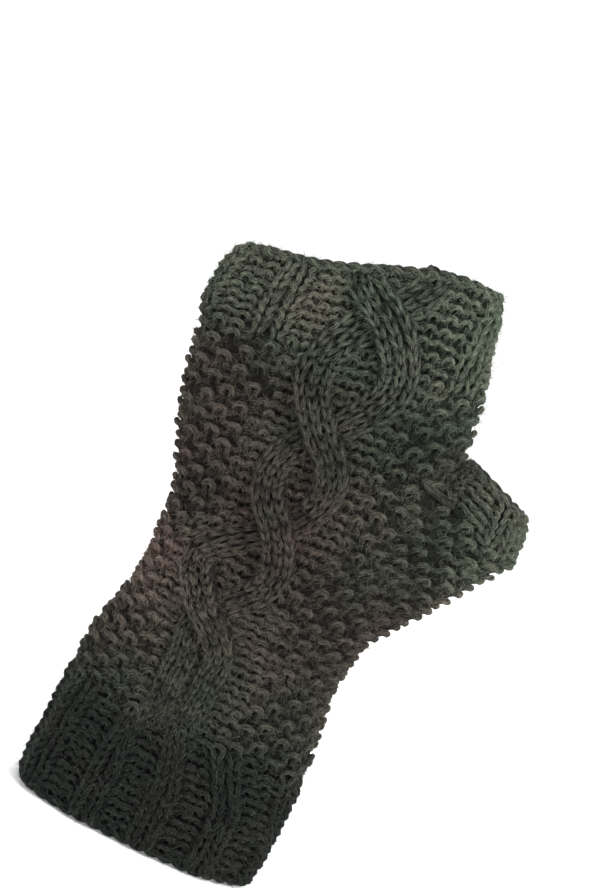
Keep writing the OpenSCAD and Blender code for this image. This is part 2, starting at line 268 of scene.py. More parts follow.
def thumb_ring(h, a):
    """Points of the thumb's tube: h is 0 at its base and 1 at its mouth, angles a start at the crotch."""
    base_low, base_high = low("thumb_rib"), high("thumb_rib")
    rim_low, rim_high = low("thumb_bind_off"), high("thumb_bind_off")

    def half(axis):
        base = (base_high[axis] - base_low[axis]) / 2
        rim = (rim_high[axis] - rim_low[axis]) / 2
        return np.interp(h, [0, 0.5, 1], [base, base, rim]) - INSET

    half_w, half_d = half(0), half(1)
    slope = -thumb_axis[0] / thumb_axis[2]
    base_x = (base_low[0] + base_high[0]) / 2
    base_z = base_low[2] - slope * (base_high[0] - base_x)
    middle = np.array([base_x, 0, base_z]) * (1 - h) + np.array([thumb_mouth[0], 0, thumb_mouth[2]]) * h
    x = -half_w * signed_pow(np.cos(a), THUMB_SQUARE)
    y = -half_d * signed_pow(np.sin(a), THUMB_SQUARE)
    x = x - 3.6 * (1 - h) * smooth(-x / half_w) - 1.5 * h  # its base closes up to the hand
    return np.stack([middle[0] + x, middle[1] + y, middle[2] + slope * x], -1)


def even(points, count):
    """The same line with its points at equal distances."""
    step = np.linalg.norm(np.diff(points, axis=0), axis=1)
    s = np.concatenate([[0], np.cumsum(step)])
    t = np.linspace(0, s[-1], count)
    return np.stack([np.interp(t, s, points[:, k]) for k in range(3)], -1)


def gusset_border(v):
    """Columns between the thumb side of the hand and the gusset's border."""
    return np.interp(v, GUSSET_ROWS, [1.3, 2.8])


def thumb_side(v):
    _, zl, _, zr, _ = row_ends(v)
    return side_columns((zl + zr) / 2)[1]


def gusset_line(v, way):
    """Point of the hand where the gusset starts, on the back (way -1) or on the palm (way 1)."""
    u = np.array([thumb_side(v) + way * gusset_border(v)])
    return HAND.at(u, np.array([float(v)]))[0][0]


def gusset_surface():
    """The wedge between the hand's side at the wrist and the thumb's tube. u is 0 at its middle line."""
    count = 121
    v0, v1 = GUSSET_ROWS
    u = np.linspace(thumb_side(v0) - gusset_border(v0), thumb_side(v0) + gusset_border(v0), count)
    bottom = even(HAND.at(u, np.full(count, float(v0)))[0], count)
    outside = thumb_ring(0, np.linspace(math.radians(75), math.radians(285), 90))
    top = even(np.concatenate([[gusset_line(v1, -1)], outside, [gusset_line(v1, 1)]]), count)
    p = np.linspace(0, 1, count)[:, None]
    vs = np.arange(v0 - 1, v1 + 1.51, 0.25)
    rows, counts = [], []
    for v in vs:
        t = (v - v0) / (v1 - v0)
        row = bottom + (top - bottom) * t
        held = min(max(v, v0), v1)
        straight = bottom + (top - bottom) * (held - v0) / (v1 - v0)
        for end, way, near in ((0, -1, smooth(1 - p / 0.3)), (-1, 1, smooth(1 - (1 - p) / 0.3))):
            row = row + (gusset_line(held, way) - straight[end]) * near
        row = even(row, count)
        rows.append(row)
        counts.append(np.linalg.norm(np.diff(row, axis=0), axis=1).sum() / GUSSET_STITCH)
    return Surface(np.linspace(0, 1, count), vs, np.array(rows)), vs, counts


GUSSET, GUSSET_V, GUSSET_COUNT = gusset_surface()


class GussetColumns:
    """The gusset with its columns counted from its middle line, so that they run on up the thumb."""

    def at(self, u, v):
        return GUSSET.at(0.5 + u / np.interp(v, GUSSET_V, GUSSET_COUNT), v)


def thumb_surface():
    us, vs = np.arange(-1, THUMB_COLUMNS + 1.01, 0.125), np.arange(-1, THUMB_ROWS + 1.01, 0.25)
    angles = np.mod(us / THUMB_COLUMNS, 1) * 2 * math.pi
    points = np.array([thumb_ring(0.88 * v / (THUMB_ROWS + 0.4), angles) for v in vs])
    return Surface(us, vs, points, THUMB_COLUMNS)


THUMB = thumb_surface()
CROTCH_COLUMNS, CROTCH_ROWS = 7, 2


def crotch_surface():
    """The few rows between the thumb's base and the side of the hand."""
    us, vs = np.linspace(-1, CROTCH_COLUMNS + 1, 73), np.arange(-1, CROTCH_ROWS + 1.01, 0.25)
    share = np.clip(us / CROTCH_COLUMNS, 0, 1)
    side, border = thumb_side(SPLIT_ROW), gusset_border(SPLIT_ROW)
    hand = HAND.at(side + border * (2 * share - 1), np.full(len(us), SPLIT_ROW + 0.6))[0]
    thumb = thumb_ring(0.1, np.radians(80 - 160 * share))
    points = np.array([thumb + (hand - thumb) * (v / CROTCH_ROWS) for v in vs])
    points[..., 1] += (us - np.clip(us, 0, CROTCH_COLUMNS)) * 3.5
    return Surface(us, vs, points)


CROTCH = crotch_surface()


# ---- Stitches: 1 is knit, -1 is purl ----
def cuff_stitch(c, j):
    return 1 if (c + 1) % 4 < 2 else -1


def band_stitch(c, j):
    if CABLE_COLUMNS[0] <= c % COLUMNS < CABLE_COLUMNS[1]:
        return -1
    return 1 if c % 4 < 2 else -1


def seed_stitch(c, j):
    if 7 <= c % COLUMNS <= (15 if j < HAND_ROWS[0] else 14):
        return -1
    return 1 if (c + j) % 2 else -1


def thumb_stitch(c, j):
    return 1 if c % 4 < 2 else -1


def gusset_stitch(c, j):
    return 1 if (c + j) % 2 else -1


def hand_stitch(c, j):
    if j < CUFF_ROWS[1]:
        return cuff_stitch(c, j)
    return seed_stitch(c, j) if j < FINGER_ROWS[0] else band_stitch(c, j)


def rib_height(stitch, depth):
    """How far each column stands out, by its stitch, as a smooth line over u."""

    def height(u, j):
        c = np.floor(u).astype(int)
        values = np.array([stitch(k, j) for k in range(c.min() - 1, c.max() + 2)], float)
        base = c.min() - 1
        here, t = values[c - base], u - c
        beside = np.where(t < 0.5, values[c - 1 - base], values[c + 1 - base])
        near = smooth(0.5 + np.minimum(t, 1 - t))
        return depth * (beside + (here - beside) * near)

    return height


def hand_height(u, j):
    """Offset of the fabric from its middle surface: ribs stand out, the ground under the cable lies back."""
    w = np.mod(u, COLUMNS)
    ground = smooth((w - 6.8) / 1.2) * smooth((15.4 - w) / 1.2)
    if j < CUFF_ROWS[1]:
        return rib_height(cuff_stitch, 1.3)(u, j) - 0.8 * ground * smooth((j - 9) / 4)
    if j >= FINGER_ROWS[0]:
        return rib_height(band_stitch, 1.1)(u, j) * (1 - ground) - GROUND_DEPTH * ground
    return -GROUND_DEPTH * ground


# ---- Yarn ----
RIB_OUTS = (1.15, 1.25)
SEED_OUTS = (-0.3, 1.4)
STRAND_OUTS = (1.45, 1.2)


def hand_outs(j):
    return SEED_OUTS if CUFF_ROWS[1] <= j < FINGER_ROWS[0] else RIB_OUTS


def interlace(side_left, here, above, side_right, t, outs):
    """Height of a loop's yarn along t: behind at its foot, in front along its legs, and behind again under
    the next row's loop. outs is how far a knit stitch's legs and a purl stitch's bump come forward."""
    knots = [0, 0.12, 0.21, 0.30, 0.39, 0.61, 0.70, 0.79, 0.88, 1]
    legs, head = here * (outs[0] if here > 0 else 1), -above * (outs[1] if above < 0 else 1)
    feet = [-(beside + here) / 2 for beside in (side_left, side_right)]
    feet = [f * (outs[1] if f > 0 else 1) for f in feet]
    rise = [(feet[0] + legs) / 2, legs, (legs + head) / 2 * 0.6]
    fall = [(legs + head) / 2 * 0.6, legs, (feet[1] + legs) / 2]
    values = [feet[0], *rise, head, head, *fall, feet[1]]
    k = np.clip(np.searchsorted(knots, t, side="right") - 1, 0, len(knots) - 2)
    a, b = np.take(knots, k), np.take(knots, k + 1)
    va, vb = np.take(values, k), np.take(values, k + 1)
    return RELIEF * (va + (vb - va) * smooth((t - a) / (b - a)))


def by_loop(values):
    """A value for each loop, with one more before and one after, as a line along the row."""
    s = np.arange((len(values) - 2) * SAMPLES) / SAMPLES
    return np.interp(s, np.arange(len(values)) - 0.5, values)


def wander(count, size):
    """A random value for each loop, as a line along the row."""
    return by_loop(rng.normal(0, size, count + 2))


def loop_row(first, last, j, stitch, height, outs=RIB_OUTS):
    """Column, row and height of the yarn of row j, from column first up to column last."""
    t = np.arange(SAMPLES) / SAMPLES
    columns = np.arange(first, last)
    flat = [outs is SEED_OUTS or stitch(c, j) < 0 for c in range(first - 1, last + 1)]
    waist = by_loop(np.where(flat, SHORT_WAIST, LOOP_WAIST)) * np.tile(np.sin(4 * math.pi * t), len(columns))
    u = (columns[:, None] + t).ravel() + waist + wander(len(columns), 0.07)
    reach = by_loop(np.where(flat, SHORT_REACH, LOOP_REACH)) * (1 + wander(len(columns), 0.1))
    v = j + 0.5 - reach * np.tile(np.cos(2 * math.pi * t), len(columns)) + wander(len(columns), 0.09)
    h = [
        interlace(stitch(c - 1, j), stitch(c, j), stitch(c, j + 1), stitch(c + 1, j), t, outs)
        for c in columns
    ]
    return u, v, np.concatenate(h) + wander(len(columns), 0.25) + height(u, j)


class Yarn:
    """Collects lengths of yarn for one piece and makes its mesh."""

    def __init__(self):
        self.lengths = []

    def lay(self, points, normals, closed=False, radius=YARN_R, out=0.0):
        """out is how far each point stands out of the fabric's middle; the yarn's colour is darkened by it as
        painted shade where it lies back.
        """
        self.lengths.append((points, normals, closed, radius, out + np.zeros(len(points))))

    def row(self, surface, first, last, j, stitch, height, closed=False, outs=RIB_OUTS):
        u, v, h = loop_row(first, last, j, stitch, height, outs)
        points, normals = surface.at(u, v)
        tone = wander(last - first, 0.35)
        radius = RIB_R if outs is RIB_OUTS else YARN_R
        self.lay(points + normals * h[:, None], normals, closed, radius, h - height(u, j) + tone)
        # A dark sheet along the row between its loops: painted shade in the gaps.
        u = np.arange(first, last + (0 if closed else 0.1), 0.25)
        points, normals = surface.at(u, np.full(len(u), j + 0.5))
        depth = height(u, j) + SHADE_SHEET_DEPTH
        self.lay(points + normals * depth[:, None], normals, closed, SHADE_SHEET, -0.9)


def tube_rings(points, normals, closed, radius):
    """Rings of points round a length of yarn, and its centre line's frame."""
    if closed:
        along = unit(np.roll(points, -1, 0) - np.roll(points, 1, 0))
    else:
        along = unit(np.gradient(points, axis=0))
    side = unit(np.cross(along, normals))
    out = np.cross(side, along)
    angle = 2 * math.pi * np.arange(SIDES) / SIDES - math.pi / 2
    wide, thick = radius if isinstance(radius, tuple) else (radius, radius)
    vary = 1 + 0.07 * np.sin(np.arange(len(points)) * 0.37 + points[0, 0])
    sideways = wide * np.cos(angle)[None, :, None] * side[:, None]
    outwards = thick * np.sin(angle)[None, :, None] * out[:, None]
    return points[:, None] + (sideways + outwards) * vary[:, None, None], along, side, out


def strip_cells(count):
    """Corner and size of each of count cells that fill the unit square."""
    across = math.ceil(math.sqrt(count))
    index = np.arange(count)
    return np.stack([index % across, index // across], -1) / across, 1 / across


def wool_tone(points):
    """Colour of the wool: brownish over the wrist, darker and a little cooler towards the cuff. Painted light:
    lighter at the top, at the top right, on the right side and in a patch on the left, where the light falls.
    In the photo the cuff's darkness may be partly shadow."""
    x, z = points[:, 0], points[:, 2]
    brown = 0.9 * np.exp(-(((z - 104) / 42) ** 2)) - 0.012 * np.clip(x - 8, 0, 60) * smooth((z - 95) / 40)
    brown += 0.45 * smooth((-x - 8) / 22) * smooth((z - 100) / 25) * smooth((172 - z) / 14)
    brown = np.clip(brown + 0.22 * np.sin(x * 0.09 + 1.3) * np.sin(z * 0.06), 0, 1)
    # Painted light: the factor light makes the wool lighter where the light falls on it.
    light = 1 + 0.7 * smooth((z - 162) / 28) + 0.5 * smooth((z - 180) / 20) * smooth((x - 10) / 25)
    light += 0.65 * smooth((x - 48) / 14) + 0.9 * np.exp(-((x + 30) ** 2) / 260 - (z - 88) ** 2 / 260)
    # Darker and a little cooler towards the cuff.
    cuff = smooth((62 - z) / 28)
    light *= 0.94 - 0.66 * cuff
    cool = 1 + cuff[:, None] * np.array([-0.08, 0, 0.12])
    return (GREEN + (BROWN - GREEN) * brown[:, None]) * cool * light[:, None]


def mesh_piece(name, yarn, material):
    """One mesh of all of a piece's yarn, with a map along the yarn and one without overlaps."""
    rings, shades, quads, caps, along_uv, first = [], [], [], [], [], 0
    for points, normals, closed, radius, out in yarn.lengths:
        ring, _, _, _ = tube_rings(points, normals, closed, radius)
        n = len(points)
        rings.append(ring.reshape(-1, 3))
        shades.append(np.repeat(out, SIDES))
        segments = n if closed else n - 1
        i = np.arange(segments)[:, None]
        k = np.arange(SIDES)[None]
        nxt, turn = (i + 1) % n, (k + 1) % SIDES
        quad = np.stack([i * SIDES + k, nxt * SIDES + k, nxt * SIDES + turn, i * SIDES + turn], -1)
        quads.append(quad.reshape(-1, 4) + first)
        step = np.linalg.norm(np.diff(points, axis=0, append=points[:1]), axis=1)
        s = np.concatenate([[0], np.cumsum(step)]) / (2 * math.pi * YARN_R) + rng.uniform(0, 50)
        lo, hi = s[i] + 0 * k, s[i + 1] + 0 * k
        ka, kb = k / SIDES + 0 * i, (k + 1) / SIDES + 0 * i
        along_uv.append(np.stack([ka, lo, ka, hi, kb, hi, kb, lo], -1).reshape(-1, 2))
        if not closed:
            caps.append(first + np.arange(SIDES))
            caps.append(first + (n - 1) * SIDES + np.arange(SIDES)[::-1])
        first += n * SIDES
    verts, quads = np.concatenate(rings), np.concatenate(quads)
    verts[:, 2] = np.maximum(verts[:, 2], 0.05)  # it stands on its edge
    strips = math.ceil(len(quads) / (SIDES * SAMPLES)) + 1
    corners, size = strip_cells(strips)
    q = np.arange(len(quads))
    cell = corners[q // (SIDES * SAMPLES)]
    along, around = (q // SIDES) % SAMPLES, q % SIDES
    box = np.stack([along, around, along + 1, around, along + 1, around + 1, along, around + 1], -1)
    flat = cell[:, None] + (0.06 + 0.88 * box.reshape(-1, 4, 2) / [SAMPLES, SIDES]) * size
    ends = np.concatenate(caps) if caps else np.zeros(0, int)
    loops = np.concatenate([quads.ravel(), ends]).astype(np.int32)
    starts = np.concatenate([np.arange(len(quads)) * 4, len(quads) * 4 + np.arange(len(caps)) * SIDES])
    spare = np.tile(corners[-1] + 0.5 * size, (len(caps) * SIDES, 1))
    uv = np.concatenate([flat.reshape(-1, 2), spare])
    yarn_uv = np.concatenate([np.concatenate(along_uv), np.zeros((len(caps) * SIDES, 2))])
    # Painted shade: yarn that lies back in the fabric is darkened, yarn that stands out is lightened.
    painted_shading = 0.22 + 1.1 * smooth((np.concatenate(shades) + 1.3) / 2.9)
    return make_mesh(name, verts, loops, starts, uv, yarn_uv, painted_shading, material)


def make_mesh(name, verts, loops, starts, uv, yarn_uv, painted_shading, material):
    mesh = bpy.data.meshes.new(name)
    mesh.vertices.add(len(verts))
    mesh.vertices.foreach_set("co", (verts * MM).astype(np.float32).ravel())
    mesh.loops.add(len(loops))
    mesh.loops.foreach_set("vertex_index", loops)
    mesh.polygons.add(len(starts))
    mesh.polygons.foreach_set("loop_start", starts.astype(np.int32))
    mesh.update(calc_edges=True)
    mesh.polygons.foreach_set("use_smooth", np.ones(len(starts), bool))
    for label, values in (("OFBake", uv), ("yarn", yarn_uv)):
        layer = mesh.uv_layers.new(name=label)
        layer.data.foreach_set("uv", values.astype(np.float32).ravel())
    # The colour on each point: the wool's colour with its painted light and painted shade.
    tone = mesh.attributes.new("wool", "FLOAT_COLOR", "POINT")
    rgba = np.concatenate([wool_tone(verts) * np.reshape(painted_shading, (-1, 1)), np.ones((len(verts), 1))], 1)
    tone.data.foreach_set("color", rgba.astype(np.float32).ravel())
    mesh.materials.append(material)
    piece = bpy.data.objects.new(name, mesh)
    bpy.context.scene.collection.objects.link(piece)
    return piece


# ---- Fibres that stand out of the yarn ----
HAIR_POINTS = 4


def fuzz_piece(name, yarn, count, material):
    """Loose fibres round a piece's yarn: thin, curved, three-sided and pointed."""
    centre, tangent, side, out = [], [], [], []
    for points, normals, closed, radius, stand in yarn.lengths:
        if isinstance(radius, tuple):
            continue
        _, a, s, o = tube_rings(points, normals, closed, radius)
        proud = stand > -0.5
        centre.append(points[proud])
        tangent.append(a[proud])
        side.append(s[proud])
        out.append(o[proud])
    centre, tangent, side, out = (np.concatenate(x) for x in (centre, tangent, side, out))
    pick = rng.integers(0, len(centre), count)
    angle = rng.normal(math.pi / 2, 1.0, count)
    away = np.cos(angle)[:, None] * side[pick] + np.sin(angle)[:, None] * out[pick]
    flow = tangent[pick] * rng.choice([-1.0, 1.0], count)[:, None]
    grow = unit(away * rng.uniform(0.25, 1.0, count)[:, None] + flow + rng.normal(0, 0.35, (count, 3)))
    curl = unit(rng.normal(0, 1, (count, 3))) * rng.uniform(0.2, 0.9, count)[:, None]
    length = np.clip(rng.lognormal(math.log(2.3), 0.4, count), 0.8, 6)
    root = centre[pick] + away * YARN_R * 0.85
    t = np.linspace(0, 1, HAIR_POINTS)
    straight = grow[:, None] * t[None, :, None]
    bent = curl[:, None] * (t**2)[None, :, None] * 0.5
    line = root[:, None] + length[:, None, None] * (straight + bent)
    line[..., 2] = np.maximum(line[..., 2], 0.3)
    width = 0.05 * np.array([1, 0.9, 0.6])
    across = unit(np.cross(grow, curl))
    other = np.cross(grow, across)
    spoke = [across * math.cos(a) + other * math.sin(a) for a in (0, 2 * math.pi / 3, 4 * math.pi / 3)]
    ring = np.stack([line[:, i, None] + np.stack(spoke, 1) * width[i] for i in range(3)], 1)
    verts = np.concatenate([ring.reshape(count, 9, 3), line[:, 3, None]], 1)
    quads = []
    for r in (0, 3):
        quads += [[r + k, r + 3 + k, r + 3 + (k + 1) % 3, r + (k + 1) % 3] for k in range(3)]
    tips = [[6 + k, 9, 6 + (k + 1) % 3] for k in range(3)]
    pattern = np.concatenate([np.array(quads).ravel(), np.array(tips).ravel(), [0, 1, 2]])
    sizes = np.array([4] * 6 + [3] * 4)
    loops = (np.arange(count)[:, None] * 10 + pattern).ravel().astype(np.int32)
    offsets = np.concatenate([[0], np.cumsum(sizes)])[:-1]
    starts = (np.arange(count)[:, None] * len(pattern) + offsets).ravel()
    corners, size = strip_cells(count)
    local = np.linspace(0.15, 0.85, 10)
    at = np.stack([local, 0.15 + 0.7 * (np.arange(10) % 3) / 2], -1)[pattern]
    uv = (corners[:, None] + at[None] * size).reshape(-1, 2)
    verts = verts.reshape(-1, 3)
    painted_shading = 1 + 1.1 * smooth((62 - verts[:, 2]) / 26)  # painted highlight: they are lighter towards the cuff, where they catch the light though the yarn is dark
    return make_mesh(name, verts, loops, starts, uv, uv * 40, painted_shading, material)


# ---- The cable's strands ----
STRAND_SUNK = -1.0  # how a strand lies at its two ends, out from the fabric's middle
STRAND_PROUD = 3.8  # how much further out it lies along the cable
STRAND_DROP = 1.5  # how far its sides fall away
TIP_DIVE, END_DIVE = 4.4, 2.0  # how far its yarn dives at the very end of a row, and just before


def surfaced(v):
    """1 along the cable, falling to 0 where a strand sinks into the fabric at either end."""
    return smooth((v - 13) / 5) * smooth((61.5 - v) / 6)


def strand_path(side):
    """Middle line of a strand by row: x, height, direction and how high it rides."""
    v = np.arange(12, 61.5, 0.05)
    _, zl, _, zr, _ = row_ends(v)
    z = (zl + zr) / 2
    turn = np.radians(np.interp(z, TURN_Z, TURN))
    x = np.interp(z, CABLE_Z, CABLE_X) + side * np.interp(z, CABLE_Z, CABLE_SPREAD) / 2 * np.cos(turn)
    x = smoothed(x, 12)
    height = row_height(v, x)
    go = unit(np.stack([np.gradient(x), np.gradient(height)], -1))
    over, under = smooth(side * np.sin(turn) / 0.8), smooth(-side * np.sin(turn) / 0.8)
    return v, x, height, go, 4.0 * over - 0.9 * under, np.interp(z, CABLE_Z, WALE_W)


def front_point(x, z, v, out):
    """Point over the back of the hand at x and z, out from the fabric's middle, and the normal there."""
    xl, _, xr, _, depth = row_ends(v)
    half = (xr - xl) / 2
    share = np.clip((x - (xl + xr) / 2) / half, -0.97, 0.97)
    power = 2 / SQUARE
    y = -depth * (1 - np.abs(share) ** power) ** (1 / power)
    nx = signed_pow(share, power - 1) / half
    ny = -np.abs(y / depth) ** (power - 1) / depth
    normal = unit(np.stack([nx, ny, np.zeros_like(nx)], -1))
    return np.stack([x, y, z], -1) + normal * out[:, None], normal


def strand_row(yarn, path, j):
    """One row of a strand: three knit stitches, whose yarn dives into the fabric at both ends."""
    v_at, x_at, z_at, go_at, rise_at, wale_at = path
    u, v, h = loop_row(0, 3, j, lambda c, r: 1, lambda u, r: 0 * u, STRAND_OUTS)
    q = u - 1.5
    q = np.concatenate([[q[0] + 0.1, q[0] - 0.12], q, [1.62, 1.4]])
    v = np.concatenate([[v[0]] * 2, v, [v[0]] * 2])
    h = np.concatenate([[h[0] - TIP_DIVE, h[0] - END_DIVE], h, [h[-1] - END_DIVE, h[-1] - TIP_DIVE]])
    x, z = np.interp(v, v_at, x_at), np.interp(v, v_at, z_at)
    go = np.stack([np.interp(v, v_at, go_at[:, k]) for k in range(2)], -1)
    rise, wale = np.interp(v, v_at, rise_at), np.interp(v, v_at, wale_at)
    shown = surfaced(v)
    out = STRAND_SUNK + STRAND_PROUD * shown + h + rise * shown - STRAND_DROP * np.abs(q / 1.5) ** 2
    points, normals = front_point(x + q * wale * go[:, 1], z - q * wale * go[:, 0], v, out)
    tone = np.interp(np.arange(len(v)), [0, len(v) / 2, len(v)], rng.normal(0, 0.35, 3))
    # Painted shade and highlight: the strand's yarn is darkened in its middle and lightened along its outer legs,
    # where the light catches them.
    painted_edge_highlight = 1.0 * smooth((np.abs(q) - 1.0) / 0.4)
    yarn.lay(points, normals, radius=STRAND_R, out=1.25 * h - 0.85 + painted_edge_highlight + tone)
    strand_shade_sheet(yarn, path, j)


def strand_shade_sheet(yarn, path, j):
    """A dark sheet under a strand's row, which closes its sides down to the fabric: painted shade there."""
    v_at, x_at, z_at, go_at, rise_at, wale_at = path
    q = np.array([-1.55, -1.6, -1.5, -1.0, -0.5, 0, 0.5, 1.0, 1.5, 1.6, 1.55])
    drop = np.array([4.5, 2.2, 0.6, 0, 0, 0, 0, 0, 0.6, 2.2, 4.5])
    v = np.full(len(q), j + 0.5)
    x, z, rise, wale = (np.interp(v, v_at, k) for k in (x_at, z_at, rise_at, wale_at))
    go = [np.interp(v, v_at, go_at[:, k]) for k in range(2)]
    sides = STRAND_DROP * np.minimum(np.abs(q / 1.5), 1) ** 2
    out = STRAND_SUNK + (STRAND_PROUD + rise) * surfaced(v) - sides + SHADE_SHEET_DEPTH - drop
    points, normals = front_point(x + q * wale * go[1], z - q * wale * go[0], v, out)
    yarn.lay(points, normals, radius=SHADE_SHEET, out=-0.9)


# ---- Edges ----
CHAIN_REACH = 0.28  # how far a chain's two yarns swing to either side, in rows


def chain(surface, around, v):
    """Two yarns wound round each other along an edge."""
    yarn = Yarn()
    n = around * 10
    u = np.arange(n) / n * around
    turn = u * math.pi
    for start in (0, math.pi):
        points, normals = surface.at(u, v + CHAIN_REACH * np.cos(turn + start))
        depth = 0.85 * np.sin(turn + start)
        yarn.lay(points + normals * depth[:, None], normals, closed=True, radius=YARN_R * 0.88, out=depth)
    return yarn


# ---- Materials ----
def wool(name, light=1.0, fibres=False):
    material = bpy.data.materials.new(name)
    material.use_nodes = True
    nodes, links = material.node_tree.nodes, material.node_tree.links
    shader = nodes["Principled BSDF"]
    shader.inputs["Roughness"].default_value = 0.92
    shader.inputs["Specular IOR Level"].default_value = 0.1
    shader.inputs["Sheen Weight"].default_value = 0.05
    shader.inputs["Sheen Roughness"].default_value = 0.5
    shader.inputs["Sheen Tint"].default_value = (0.75, 0.76, 0.72, 1)

    attribute = nodes.new("ShaderNodeAttribute")
    attribute.attribute_name = "wool"
    place = nodes.new("ShaderNodeTexCoord")
    patches = nodes.new("ShaderNodeTexNoise")
    patches.inputs["Scale"].default_value = 42
    patches.inputs["Detail"].default_value = 2
    links.new(place.outputs["Object"], patches.inputs["Vector"])

    def mixed(share, a, b, kind="MIX"):
        node = nodes.new("ShaderNodeMix")
        node.data_type = "RGBA"
        node.blend_type = kind
        node.clamp_factor = True
        for socket, value in ((node.inputs[0], share), (node.inputs[6], a), (node.inputs[7], b)):
            if isinstance(value, (int, float, tuple)):
                socket.default_value = value
            else:
                links.new(value, socket)
        return node.outputs[2]

    dye = nodes.new("ShaderNodeValToRGB")
    dye.color_ramp.elements[0].position, dye.color_ramp.elements[1].position = 0.35, 0.65
    # light scales the whole colour; for the loose fibres it is a painted highlight.
    dye.color_ramp.elements[0].color = tuple(light * c for c in (0.82, 0.93, 0.86)) + (1,)
    dye.color_ramp.elements[1].color = tuple(light * c for c in (1.22, 1.08, 1.08)) + (1,)
    links.new(patches.outputs["Fac"], dye.inputs["Fac"])
    colour = mixed(1.0, attribute.outputs["Color"], dye.outputs["Color"], "MULTIPLY")

    yarn_map = nodes.new("ShaderNodeUVMap")
    yarn_map.uv_map = "yarn"
    twist = nodes.new("ShaderNodeMapping")
    twist.inputs["Rotation"].default_value = (0, 0, math.radians(28))
    twist.inputs["Scale"].default_value = (6.5, 2.3, 1)
    links.new(yarn_map.outputs["UV"], twist.inputs["Vector"])
    strands = nodes.new("ShaderNodeTexNoise")
    strands.inputs["Scale"].default_value = 1.6
    strands.inputs["Detail"].default_value = 4
    links.new(twist.outputs["Vector"], strands.inputs["Vector"])
    heather = nodes.new("ShaderNodeValToRGB")
    heather.color_ramp.elements[0].position = 0.36
    heather.color_ramp.elements[0].color = (0.25, 0.25, 0.25, 1)
    heather.color_ramp.elements[1].position = 0.68
    heather.color_ramp.elements[1].color = (2.9, 2.9, 2.75, 1)
    links.new(strands.outputs["Fac"], heather.inputs["Fac"])
    colour = mixed(1.0, colour, heather.outputs["Color"], "MULTIPLY")
    links.new(colour, shader.inputs["Base Color"])
    if not fibres:
        bump = nodes.new("ShaderNodeBump")
        bump.inputs["Strength"].default_value = 0.7
        bump.inputs["Distance"].default_value = 0.0004
        links.new(strands.outputs["Fac"], bump.inputs["Height"])
        links.new(bump.outputs["Normal"], shader.inputs["Normal"])
    return material


WOOL = wool("wool_yarn")
# Painted highlight: the loose fibres are four times lighter than the yarn, as if catching the light.
FUZZ = wool("wool_fibres", light=4.0, fibres=True)


# ---- Pieces ----
WRIST_BEND = ((0, 0, LEFT_Z[3] * MM), (0, 0, LEFT_Z[4] * MM))
joints = {j["name"]: j for j in frame["joints"]}
knuckle = np.array(joints["knuckle_bend"]["pos_m"])
knuckle_up = np.cross(np.array(joints["knuckle_bend"]["axis"]), [0, 1, 0])
knuckle_up = knuckle_up / np.linalg.norm(knuckle_up) * np.sign(knuckle_up[2])
KNUCKLE_BEND = (tuple(knuckle - 0.0075 * knuckle_up), tuple(knuckle + 0.0075 * knuckle_up))
THUMB_BEND = ((0.040, 0, 0), (0.060, 0, 0))
BLENDS = {
    "wrist": ("cuff", "hand", *WRIST_BEND),
    "knuckle": ("hand", "fingers", *KNUCKLE_BEND),
    "swing": ("hand", "thumb", *THUMB_BEND),
}


def fasten(piece, where, nodes=()):
    """Fixes a finished piece to its body; a piece that lies between two bodies gets its place baked into its mesh
    and no parent.
    """
    if where in BLENDS:
        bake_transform(piece)
    else:
        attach(piece, where)
    if nodes:
        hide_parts(*nodes)


def closed_rows(rows):
    yarn = Yarn()
    for j in range(*rows):
        yarn.row(HAND, 0, COLUMNS, j, hand_stitch, hand_height, closed=True, outs=hand_outs(j))
    return yarn


LEFT_CUT = 2  # column where the back's rows meet the palm's
SIDE_CUTS = (17, 23)  # columns of the hand's side above the thumb


def hand_part(part):
    """Rows of the back, of the palm or of the side above the thumb."""
    yarn = Yarn()
    for j in range(*HAND_ROWS):
        if j < SPLIT_ROW:
            edge = gusset_border(j + 0.5)
            ends = math.ceil(thumb_side(j + 0.5) - edge), math.floor(thumb_side(j + 0.5) + edge)
        else:
            ends = SIDE_CUTS
        if part == "back":
            first, last = LEFT_CUT, ends[0]
        elif part == "palm":
            first, last = ends[1], COLUMNS + LEFT_CUT
        else:
            first, last = ends
            if j < SPLIT_ROW:
                continue
        yarn.row(HAND, first, last, j, hand_stitch, hand_height, outs=SEED_OUTS)
    return yarn


def gusset_part():
    yarn = Yarn()
    for j in range(*GUSSET_ROWS):
        half = max(1, math.ceil(np.interp(j + 0.5, GUSSET_V, GUSSET_COUNT) / 2 - 0.3))
        yarn.row(GussetColumns(), -half, half, j, gusset_stitch, lambda u, r: 0 * u, outs=SEED_OUTS)
    for j in range(CROTCH_ROWS):
        yarn.row(CROTCH, 0, CROTCH_COLUMNS, j, gusset_stitch, lambda u, r: 0 * u, outs=SEED_OUTS)
    return yarn


def thumb_part():
    yarn = Yarn()
    for j in range(THUMB_ROWS):
        yarn.row(THUMB, 0, THUMB_COLUMNS, j, thumb_stitch, rib_height(thumb_stitch, 0.8), closed=True)
    return yarn


STRANDS = {-1: strand_path(-1), 1: strand_path(1)}


def strand_part(rows, sides=(-1, 1)):
    yarn = Yarn()
    for side in sides:
        for j in range(*rows):
            strand_row(yarn, STRANDS[side], j)
    return yarn


def tail_part(node):
    """A yarn end, woven in along the inside: it follows its CAD solid's longest direction."""
    corners = np.array([v.co for v in frame["nodes"][node].data.vertices]) / MM
    middle = corners.mean(0)
    _, _, axes = np.linalg.svd(corners - middle, full_matrices=False)
    along = (corners - middle) @ axes[0]
    bins = np.linspace(along.min(), along.max(), 7)
    stations = [corners[np.abs(along - b) <= (bins[1] - bins[0]) * 0.6].mean(0) for b in bins[1:-1]]
    line = even(np.array(stations), 40)
    yarn = Yarn()
    # Painted shade: the end is darkened, as it lies inside the glove.
    yarn.lay(line, np.tile([0.0, -1.0, 0.2], (40, 1)), radius=YARN_R * 0.85, out=-0.45)
    return yarn


